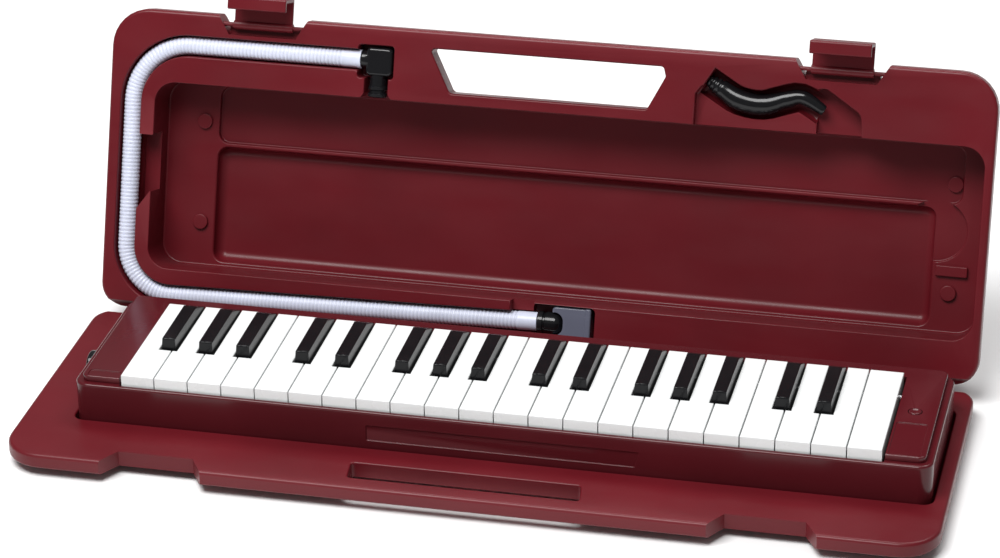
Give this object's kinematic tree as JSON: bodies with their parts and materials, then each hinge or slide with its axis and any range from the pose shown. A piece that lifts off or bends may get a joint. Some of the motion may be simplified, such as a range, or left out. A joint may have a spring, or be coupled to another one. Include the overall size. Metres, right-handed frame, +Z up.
{
  "type": "melodica",
  "caption": "Keyed free-reed wind instrument lying in an open hinged carrying case, with a flexible hose and a short mouthpiece stored in the lid.",
  "frame": {"origin": "centre of the flat underside of the case base, on the surface that it stands on", "axes": "+X along the keyboard from bass to treble, +Y back towards the case hinge, +Z up"},
  "size_m": [0.5096, 0.2524, 0.1954],
  "materials": {
    "case_plastic": "moulded dark maroon, satin gloss, rounded edges",
    "body_plastic": "polished dark maroon",
    "white_key_plastic": "polished white",
    "black_key_plastic": "polished black with bevelled edges",
    "black_plastic": "polished black",
    "hose_plastic": "soft translucent corrugated polyethylene",
    "steel": "bright drawn steel",
    "reed_brass": "milled brass",
    "gasket_rubber": "soft black rubber",
    "key_felt": "pressed wool felt"
  },
  "bodies": {
    "case_and_instrument": {"case_base": "case_plastic", "case_hinge_pin": "steel", "bottom_case": "body_plastic", "top_cover": "body_plastic", "air_chamber": "black_plastic", "chamber_gasket": "gasket_rubber", "reed_plate": "reed_brass", "key_shaft": "steel", "spring_comb": "steel", "inlet_socket": "black_plastic", "drain_spring": "steel", "front_felt": "key_felt"},
    "lid": {"case_lid": "case_plastic", "latch_pin_left": "case_plastic", "latch_pin_right": "case_plastic", "hose": "hose_plastic", "hose_elbow": "black_plastic", "hose_ferrule": "black_plastic", "hose_mouthpiece": "black_plastic", "short_mouthpiece": "black_plastic"},
    "latch_left": {"latch_left": "case_plastic"},
    "latch_right": {"latch_right": "case_plastic"},
    "drain_button": {"drain_button": "body_plastic"},
    "key_F_3": {"key_F_3": "white_key_plastic"},
    "key_F_sharp_3": {"key_F_sharp_3": "black_key_plastic"},
    "key_G_3": {"key_G_3": "white_key_plastic"},
    "key_G_sharp_3": {"key_G_sharp_3": "black_key_plastic"},
    "key_A_3": {"key_A_3": "white_key_plastic"},
    "key_A_sharp_3": {"key_A_sharp_3": "black_key_plastic"},
    "key_B_3": {"key_B_3": "white_key_plastic"},
    "key_C_4": {"key_C_4": "white_key_plastic"},
    "key_C_sharp_4": {"key_C_sharp_4": "black_key_plastic"},
    "key_D_4": {"key_D_4": "white_key_plastic"},
    "key_D_sharp_4": {"key_D_sharp_4": "black_key_plastic"},
    "key_E_4": {"key_E_4": "white_key_plastic"},
    "key_F_4": {"key_F_4": "white_key_plastic"},
    "key_F_sharp_4": {"key_F_sharp_4": "black_key_plastic"},
    "key_G_4": {"key_G_4": "white_key_plastic"},
    "key_G_sharp_4": {"key_G_sharp_4": "black_key_plastic"},
    "key_A_4": {"key_A_4": "white_key_plastic"},
    "key_A_sharp_4": {"key_A_sharp_4": "black_key_plastic"},
    "key_B_4": {"key_B_4": "white_key_plastic"},
    "key_C_5": {"key_C_5": "white_key_plastic"},
    "key_C_sharp_5": {"key_C_sharp_5": "black_key_plastic"},
    "key_D_5": {"key_D_5": "white_key_plastic"},
    "key_D_sharp_5": {"key_D_sharp_5": "black_key_plastic"},
    "key_E_5": {"key_E_5": "white_key_plastic"},
    "key_F_5": {"key_F_5": "white_key_plastic"},
    "key_F_sharp_5": {"key_F_sharp_5": "black_key_plastic"},
    "key_G_5": {"key_G_5": "white_key_plastic"},
    "key_G_sharp_5": {"key_G_sharp_5": "black_key_plastic"},
    "key_A_5": {"key_A_5": "white_key_plastic"},
    "key_A_sharp_5": {"key_A_sharp_5": "black_key_plastic"},
    "key_B_5": {"key_B_5": "white_key_plastic"},
    "key_C_6": {"key_C_6": "white_key_plastic"},
    "key_C_sharp_6": {"key_C_sharp_6": "black_key_plastic"},
    "key_D_6": {"key_D_6": "white_key_plastic"},
    "key_D_sharp_6": {"key_D_sharp_6": "black_key_plastic"},
    "key_E_6": {"key_E_6": "white_key_plastic"},
    "key_F_6": {"key_F_6": "white_key_plastic"}
  },
  "joints": [
    {"name": "case_lid_hinge", "type": "hinge", "parent": "case_and_instrument", "child": "lid", "pos_m": [0, 0.0873, 0.0145], "axis": [1, 0, 0], "range_deg": [0, 109.25]},
    {"name": "case_latch_left", "type": "hinge", "parent": "lid", "child": "latch_left", "pos_m": [-0.1655, 0.14601, 0.17353], "axis": [1, 0, 0], "range_deg": [0, 90]},
    {"name": "case_latch_right", "type": "hinge", "parent": "lid", "child": "latch_right", "pos_m": [0.1675, 0.14601, 0.17353], "axis": [1, 0, 0], "range_deg": [0, 90]},
    {"name": "drain_button_slide", "type": "slide", "parent": "case_and_instrument", "child": "drain_button", "axis": [0, 0, -1], "range_m": [0, 0.003], "stiffness_N_per_m": 200, "springref_m": -0.002, "deforming": ["drain_spring"]},
    {"name": "play_key_F_3", "type": "hinge", "parent": "case_and_instrument", "child": "key_F_3", "pos_m": [-0.1891, 0.0313, 0.035], "axis": [1, 0, 0], "range_deg": [0, 3.2], "stiffness_Nm_per_rad": 0.2, "springref_deg": -5.73},
    {"name": "play_key_F_sharp_3", "type": "hinge", "parent": "case_and_instrument", "child": "key_F_sharp_3", "pos_m": [-0.1819, 0.0313, 0.035], "axis": [1, 0, 0], "range_deg": [0, 4], "stiffness_Nm_per_rad": 0.2, "springref_deg": -5.73},
    {"name": "play_key_G_3", "type": "hinge", "parent": "case_and_instrument", "child": "key_G_3", "pos_m": [-0.1701, 0.0313, 0.035], "axis": [1, 0, 0], "range_deg": [0, 3.2], "stiffness_Nm_per_rad": 0.2, "springref_deg": -5.73},
    {"name": "play_key_G_sharp_3", "type": "hinge", "parent": "case_and_instrument", "child": "key_G_sharp_3", "pos_m": [-0.1606, 0.0313, 0.035], "axis": [1, 0, 0], "range_deg": [0, 4], "stiffness_Nm_per_rad": 0.2, "springref_deg": -5.73},
    {"name": "play_key_A_3", "type": "hinge", "parent": "case_and_instrument", "child": "key_A_3", "pos_m": [-0.1511, 0.0313, 0.035], "axis": [1, 0, 0], "range_deg": [0, 3.2], "stiffness_Nm_per_rad": 0.2, "springref_deg": -5.73},
    {"name": "play_key_A_sharp_3", "type": "hinge", "parent": "case_and_instrument", "child": "key_A_sharp_3", "pos_m": [-0.1393, 0.0313, 0.035], "axis": [1, 0, 0], "range_deg": [0, 4], "stiffness_Nm_per_rad": 0.2, "springref_deg": -5.73},
    {"name": "play_key_B_3", "type": "hinge", "parent": "case_and_instrument", "child": "key_B_3", "pos_m": [-0.1321, 0.0313, 0.035], "axis": [1, 0, 0], "range_deg": [0, 3.2], "stiffness_Nm_per_rad": 0.2, "springref_deg": -5.73},
    {"name": "play_key_C_4", "type": "hinge", "parent": "case_and_instrument", "child": "key_C_4", "pos_m": [-0.1131, 0.0313, 0.035], "axis": [1, 0, 0], "range_deg": [0, 3.2], "stiffness_Nm_per_rad": 0.2, "springref_deg": -5.73},
    {"name": "play_key_C_sharp_4", "type": "hinge", "parent": "case_and_instrument", "child": "key_C_sharp_4", "pos_m": [-0.1054, 0.0313, 0.035], "axis": [1, 0, 0], "range_deg": [0, 4], "stiffness_Nm_per_rad": 0.2, "springref_deg": -5.73},
    {"name": "play_key_D_4", "type": "hinge", "parent": "case_and_instrument", "child": "key_D_4", "pos_m": [-0.0941, 0.0313, 0.035], "axis": [1, 0, 0], "range_deg": [0, 3.2], "stiffness_Nm_per_rad": 0.2, "springref_deg": -5.73},
    {"name": "play_key_D_sharp_4", "type": "hinge", "parent": "case_and_instrument", "child": "key_D_sharp_4", "pos_m": [-0.0828, 0.0313, 0.035], "axis": [1, 0, 0], "range_deg": [0, 4], "stiffness_Nm_per_rad": 0.2, "springref_deg": -5.73},
    {"name": "play_key_E_4", "type": "hinge", "parent": "case_and_instrument", "child": "key_E_4", "pos_m": [-0.0751, 0.0313, 0.035], "axis": [1, 0, 0], "range_deg": [0, 3.2], "stiffness_Nm_per_rad": 0.2, "springref_deg": -5.73},
    {"name": "play_key_F_4", "type": "hinge", "parent": "case_and_instrument", "child": "key_F_4", "pos_m": [-0.0561, 0.0313, 0.035], "axis": [1, 0, 0], "range_deg": [0, 3.2], "stiffness_Nm_per_rad": 0.2, "springref_deg": -5.73},
    {"name": "play_key_F_sharp_4", "type": "hinge", "parent": "case_and_instrument", "child": "key_F_sharp_4", "pos_m": [-0.0489, 0.0313, 0.035], "axis": [1, 0, 0], "range_deg": [0, 4], "stiffness_Nm_per_rad": 0.2, "springref_deg": -5.73},
    {"name": "play_key_G_4", "type": "hinge", "parent": "case_and_instrument", "child": "key_G_4", "pos_m": [-0.0371, 0.0313, 0.035], "axis": [1, 0, 0], "range_deg": [0, 3.2], "stiffness_Nm_per_rad": 0.2, "springref_deg": -5.73},
    {"name": "play_key_G_sharp_4", "type": "hinge", "parent": "case_and_instrument", "child": "key_G_sharp_4", "pos_m": [-0.0276, 0.0313, 0.035], "axis": [1, 0, 0], "range_deg": [0, 4], "stiffness_Nm_per_rad": 0.2, "springref_deg": -5.73},
    {"name": "play_key_A_4", "type": "hinge", "parent": "case_and_instrument", "child": "key_A_4", "pos_m": [-0.0181, 0.0313, 0.035], "axis": [1, 0, 0], "range_deg": [0, 3.2], "stiffness_Nm_per_rad": 0.2, "springref_deg": -5.73},
    {"name": "play_key_A_sharp_4", "type": "hinge", "parent": "case_and_instrument", "child": "key_A_sharp_4", "pos_m": [-0.0063, 0.0313, 0.035], "axis": [1, 0, 0], "range_deg": [0, 4], "stiffness_Nm_per_rad": 0.2, "springref_deg": -5.73},
    {"name": "play_key_B_4", "type": "hinge", "parent": "case_and_instrument", "child": "key_B_4", "pos_m": [0.0009, 0.0313, 0.035], "axis": [1, 0, 0], "range_deg": [0, 3.2], "stiffness_Nm_per_rad": 0.2, "springref_deg": -5.73},
    {"name": "play_key_C_5", "type": "hinge", "parent": "case_and_instrument", "child": "key_C_5", "pos_m": [0.0199, 0.0313, 0.035], "axis": [1, 0, 0], "range_deg": [0, 3.2], "stiffness_Nm_per_rad": 0.2, "springref_deg": -5.73},
    {"name": "play_key_C_sharp_5", "type": "hinge", "parent": "case_and_instrument", "child": "key_C_sharp_5", "pos_m": [0.0276, 0.0313, 0.035], "axis": [1, 0, 0], "range_deg": [0, 4], "stiffness_Nm_per_rad": 0.2, "springref_deg": -5.73},
    {"name": "play_key_D_5", "type": "hinge", "parent": "case_and_instrument", "child": "key_D_5", "pos_m": [0.0389, 0.0313, 0.035], "axis": [1, 0, 0], "range_deg": [0, 3.2], "stiffness_Nm_per_rad": 0.2, "springref_deg": -5.73},
    {"name": "play_key_D_sharp_5", "type": "hinge", "parent": "case_and_instrument", "child": "key_D_sharp_5", "pos_m": [0.0502, 0.0313, 0.035], "axis": [1, 0, 0], "range_deg": [0, 4], "stiffness_Nm_per_rad": 0.2, "springref_deg": -5.73},
    {"name": "play_key_E_5", "type": "hinge", "parent": "case_and_instrument", "child": "key_E_5", "pos_m": [0.0579, 0.0313, 0.035], "axis": [1, 0, 0], "range_deg": [0, 3.2], "stiffness_Nm_per_rad": 0.2, "springref_deg": -5.73},
    {"name": "play_key_F_5", "type": "hinge", "parent": "case_and_instrument", "child": "key_F_5", "pos_m": [0.0769, 0.0313, 0.035], "axis": [1, 0, 0], "range_deg": [0, 3.2], "stiffness_Nm_per_rad": 0.2, "springref_deg": -5.73},
    {"name": "play_key_F_sharp_5", "type": "hinge", "parent": "case_and_instrument", "child": "key_F_sharp_5", "pos_m": [0.0841, 0.0313, 0.035], "axis": [1, 0, 0], "range_deg": [0, 4], "stiffness_Nm_per_rad": 0.2, "springref_deg": -5.73},
    {"name": "play_key_G_5", "type": "hinge", "parent": "case_and_instrument", "child": "key_G_5", "pos_m": [0.0959, 0.0313, 0.035], "axis": [1, 0, 0], "range_deg": [0, 3.2], "stiffness_Nm_per_rad": 0.2, "springref_deg": -5.73},
    {"name": "play_key_G_sharp_5", "type": "hinge", "parent": "case_and_instrument", "child": "key_G_sharp_5", "pos_m": [0.1054, 0.0313, 0.035], "axis": [1, 0, 0], "range_deg": [0, 4], "stiffness_Nm_per_rad": 0.2, "springref_deg": -5.73},
    {"name": "play_key_A_5", "type": "hinge", "parent": "case_and_instrument", "child": "key_A_5", "pos_m": [0.1149, 0.0313, 0.035], "axis": [1, 0, 0], "range_deg": [0, 3.2], "stiffness_Nm_per_rad": 0.2, "springref_deg": -5.73},
    {"name": "play_key_A_sharp_5", "type": "hinge", "parent": "case_and_instrument", "child": "key_A_sharp_5", "pos_m": [0.1267, 0.0313, 0.035], "axis": [1, 0, 0], "range_deg": [0, 4], "stiffness_Nm_per_rad": 0.2, "springref_deg": -5.73},
    {"name": "play_key_B_5", "type": "hinge", "parent": "case_and_instrument", "child": "key_B_5", "pos_m": [0.1339, 0.0313, 0.035], "axis": [1, 0, 0], "range_deg": [0, 3.2], "stiffness_Nm_per_rad": 0.2, "springref_deg": -5.73},
    {"name": "play_key_C_6", "type": "hinge", "parent": "case_and_instrument", "child": "key_C_6", "pos_m": [0.1529, 0.0313, 0.035], "axis": [1, 0, 0], "range_deg": [0, 3.2], "stiffness_Nm_per_rad": 0.2, "springref_deg": -5.73},
    {"name": "play_key_C_sharp_6", "type": "hinge", "parent": "case_and_instrument", "child": "key_C_sharp_6", "pos_m": [0.1606, 0.0313, 0.035], "axis": [1, 0, 0], "range_deg": [0, 4], "stiffness_Nm_per_rad": 0.2, "springref_deg": -5.73},
    {"name": "play_key_D_6", "type": "hinge", "parent": "case_and_instrument", "child": "key_D_6", "pos_m": [0.1719, 0.0313, 0.035], "axis": [1, 0, 0], "range_deg": [0, 3.2], "stiffness_Nm_per_rad": 0.2, "springref_deg": -5.73},
    {"name": "play_key_D_sharp_6", "type": "hinge", "parent": "case_and_instrument", "child": "key_D_sharp_6", "pos_m": [0.1832, 0.0313, 0.035], "axis": [1, 0, 0], "range_deg": [0, 4], "stiffness_Nm_per_rad": 0.2, "springref_deg": -5.73},
    {"name": "play_key_E_6", "type": "hinge", "parent": "case_and_instrument", "child": "key_E_6", "pos_m": [0.1909, 0.0313, 0.035], "axis": [1, 0, 0], "range_deg": [0, 3.2], "stiffness_Nm_per_rad": 0.2, "springref_deg": -5.73},
    {"name": "play_key_F_6", "type": "hinge", "parent": "case_and_instrument", "child": "key_F_6", "pos_m": [0.2099, 0.0313, 0.035], "axis": [1, 0, 0], "range_deg": [0, 3.2], "stiffness_Nm_per_rad": 0.2, "springref_deg": -5.73}
  ]
}
